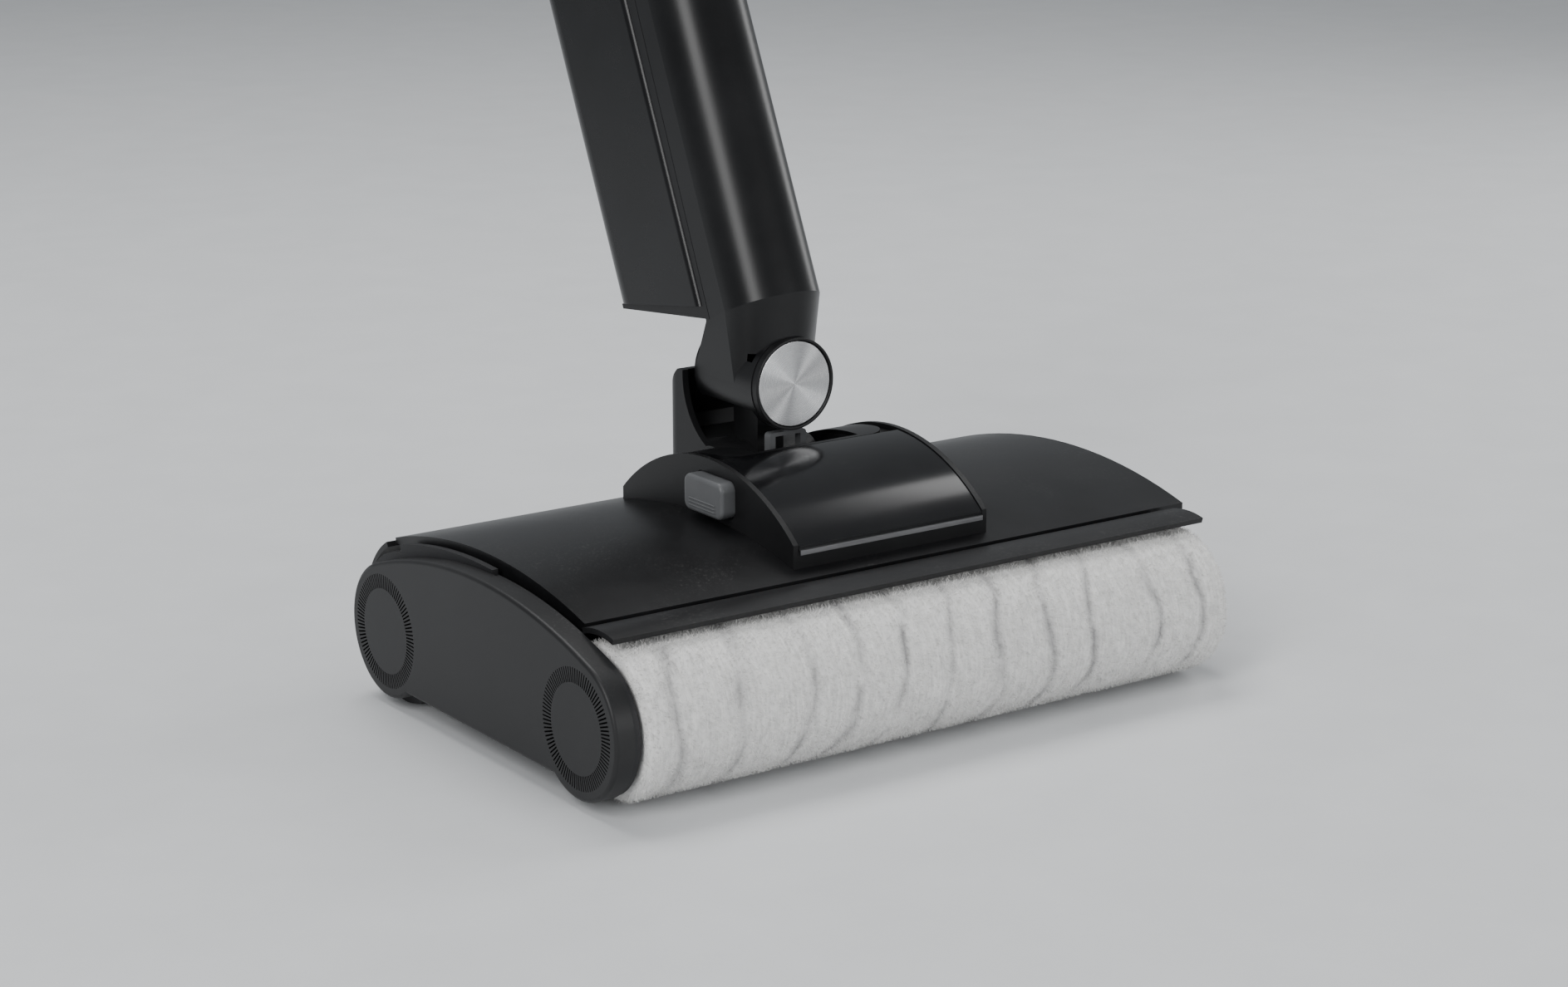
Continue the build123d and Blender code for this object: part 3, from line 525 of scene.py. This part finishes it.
def outer_skin(name, surface, reach, centre):
    """A copy of the outer faces only, for the fibres to grow on."""
    work = bmesh.new()
    work.from_mesh(surface.data)
    inner = [f for f in work.faces
             if Vector((f.calc_center_median() - centre)[1:]).length < reach]
    bmesh.ops.delete(work, geom=inner, context="FACES")
    mesh = bpy.data.meshes.new(name)
    work.to_mesh(mesh)
    work.free()
    skin = bpy.data.objects.new(name, mesh)
    scene.collection.objects.link(skin)
    return skin


def make_roller(side, seed):
    sleeve = f"{side}_roller_sleeve"
    low, high = (Vector(corner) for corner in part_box(sleeve))
    centre = (low + high) / 2
    outer = (high.z - low.z) / 2
    core_low, core_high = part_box(f"{side}_roller_core")
    inner = (core_high[2] - core_low[2]) / 2 + CORE_GAP
    material = pile_material(f"{side}_roller_pile", centre, GREY_THREAD)
    outline = pile_outline(low.x + SLEEVE_END_GAP, high.x - SLEEVE_END_GAP, inner, outer - FIBRE_REACH,
                           SLEEVE_SHOULDER)
    pile = ring_surface(f"{side}_roller_plush", outline, centre, AROUND)
    pile.data.materials.append(material)
    skin = outer_skin("fibre_ground", pile, outer - SKIN_DEPTH, centre)
    tufts = grow_tufts(f"{side}_roller_fibres", skin, material, seed)
    bpy.data.objects.remove(skin)
    limit = outer - FIBRE_MARGIN
    for vertex in tufts.data.vertices:
        spoke = Vector((0, vertex.co.y - centre.y, vertex.co.z - centre.z))
        if spoke.length > limit:
            spoke *= limit / spoke.length
            vertex.co.y = centre.y + spoke.y
            vertex.co.z = centre.z + spoke.z
        vertex.co.x = min(max(vertex.co.x, low.x), high.x)
    for piece in (pile, tufts):
        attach(piece, f"{side}_roller")
    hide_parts(sleeve)


make_roller("front", 4)
make_roller("rear", 9)


# ---------------------------------------------------------------- finger ribs

def rib_tree(material):
    """A row of slim rounded ribs, realized as plain faces."""
    tree = bpy.data.node_groups.new("finger_ribs", "GeometryNodeTree")
    sockets = (("Length", "NodeSocketFloat"), ("Radius", "NodeSocketFloat"), ("Count", "NodeSocketInt"),
               ("Start", "NodeSocketVector"), ("Step", "NodeSocketVector"), ("Turn", "NodeSocketRotation"))
    for label, kind in sockets:
        tree.interface.new_socket(label, in_out="INPUT", socket_type=kind)
    tree.interface.new_socket("Geometry", in_out="OUTPUT", socket_type="NodeSocketGeometry")
    into = tree.nodes.new("NodeGroupInput")
    out = tree.nodes.new("NodeGroupOutput")
    link = tree.links.new
    row = tree.nodes.new("GeometryNodeMeshLine")
    link(into.outputs["Count"], row.inputs["Count"])
    link(into.outputs["Start"], row.inputs["Start Location"])
    link(into.outputs["Step"], row.inputs["Offset"])
    bar = tree.nodes.new("GeometryNodeMeshCylinder")
    bar.inputs["Vertices"].default_value = 16
    link(into.outputs["Radius"], bar.inputs["Radius"])
    link(into.outputs["Length"], bar.inputs["Depth"])
    place = tree.nodes.new("GeometryNodeInstanceOnPoints")
    link(row.outputs[0], place.inputs["Points"])
    link(bar.outputs["Mesh"], place.inputs["Instance"])
    link(into.outputs["Turn"], place.inputs["Rotation"])
    real = tree.nodes.new("GeometryNodeRealizeInstances")
    link(place.outputs[0], real.inputs[0])
    paint = tree.nodes.new("GeometryNodeSetMaterial")
    paint.inputs["Material"].default_value = material
    link(real.outputs[0], paint.inputs["Geometry"])
    link(paint.outputs[0], out.inputs["Geometry"])
    return tree


def make_ribs(name, body, slot, length, radius, count, start, step, turn):
    """Ribs as a plain mesh that rides with body."""
    tree = rib_tree(finishes[slot])
    holder = bpy.data.objects.new(name + "_source", bpy.data.meshes.new(name + "_source"))
    scene.collection.objects.link(holder)
    modifier = holder.modifiers.new("ribs", "NODES")
    modifier.node_group = tree
    values = {"Length": length, "Radius": radius, "Count": count, "Start": start, "Step": step, "Turn": turn}
    for item in tree.interface.items_tree:
        if item.in_out == "INPUT":
            modifier[item.identifier] = values[item.name]
    graph = bpy.context.evaluated_depsgraph_get()
    mesh = bpy.data.meshes.new_from_object(holder.evaluated_get(graph))
    bpy.data.objects.remove(holder)
    piece = bpy.data.objects.new(name, mesh)
    scene.collection.objects.link(piece)
    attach(piece, body)


for side, face in (("left", 0), ("right", 1)):
    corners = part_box(f"{side}_release_button")
    low, high = (Vector(corner) for corner in corners)
    face_x = corners[face][0] + (RIB_SINK if face == 0 else -RIB_SINK)
    length = high.y - low.y - RIB_MARGIN
    start = (face_x, (low.y + high.y) / 2, low.z + RIB_BASE)
    make_ribs(f"{side}_button_ribs", f"{side}_release", "grey_plastic", length, RIB_RADIUS, RIB_COUNT,
              start, (0.0, 0.0, RIB_STEP), (pi / 2, 0.0, 0.0))


# ---------------------------------------------------------------- floor, light, camera

def make_floor():
    mesh = bpy.data.meshes.new("studio_floor")
    corners = [(x * FLOOR_HALF, y * FLOOR_HALF, 0) for x, y in ((-1, -1), (1, -1), (1, 1), (-1, 1))]
    mesh.from_pydata(corners, [], [(0, 1, 2, 3)])
    floor = bpy.data.objects.new("studio_floor", mesh)
    scene.collection.objects.link(floor)
    material, tree, shader, pattern = start_material("pale_floor", moulded)
    pattern.inputs["Grain"].default_value = 300.0
    pattern.inputs["Roughness"].default_value = 0.55
    tree.links.new(blend_colour(tree, pattern.outputs["Mottle"], (0.66, 0.67, 0.68), (0.69, 0.70, 0.71)),
                   shader.inputs["Base Color"])
    tree.links.new(pattern.outputs["Roughness"], shader.inputs["Roughness"])
    mesh.materials.append(material)
    floor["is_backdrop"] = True


def softbox(name, spot, aim, width, height, power, colour=(1.0, 1.0, 1.0)):
    light = bpy.data.lights.new(name, "AREA")
    light.shape = "RECTANGLE"
    light.size = width
    light.size_y = height
    light.energy = power
    light.color = colour
    lamp = bpy.data.objects.new(name, light)
    lamp.location = spot
    lamp.rotation_euler = (Vector(aim) - Vector(spot)).to_track_quat("-Z", "Y").to_euler()
    scene.collection.objects.link(lamp)


make_floor()
axle_middle = (middle("front_roller_sleeve").y + middle("rear_roller_sleeve").y) / 2
head = Vector((middle("centre_housing").x, axle_middle, 0))
softbox("key_softbox", head + Vector((-1.75, -0.75, 1.35)), head + Vector((0, 0, 0.2)), 0.7, 1.8, 34)
softbox("top_softbox", head + Vector((0.1, 0.9, 2.1)), head, 1.6, 0.9, 30)
softbox("right_softbox", head + Vector((1.5, 0.2, 0.9)), head + Vector((0, 0, 0.1)), 0.35, 1.6, 9)
softbox("front_softbox", head + Vector((0.5, -2.1, 0.7)), head + Vector((0, -0.1, 0.02)), 1.6, 0.5, 15)

world = bpy.data.worlds.new("studio_world")
scene.world = world
world.use_nodes = True
world.node_tree.nodes["Background"].inputs["Color"].default_value = (0.82, 0.86, 0.90, 1.0)
world.node_tree.nodes["Background"].inputs["Strength"].default_value = 0.36

camera = bpy.data.cameras.new("camera")
camera.lens = CAMERA_LENS
camera.sensor_width = 36.0
viewer = bpy.data.objects.new("camera", camera)
viewer.location = head + Vector(CAMERA_FROM_HEAD)
viewer.rotation_euler = (radians(90 - CAMERA_DOWN), 0.0, radians(CAMERA_TURN))
scene.collection.objects.link(viewer)
scene.camera = viewer

low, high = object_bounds()
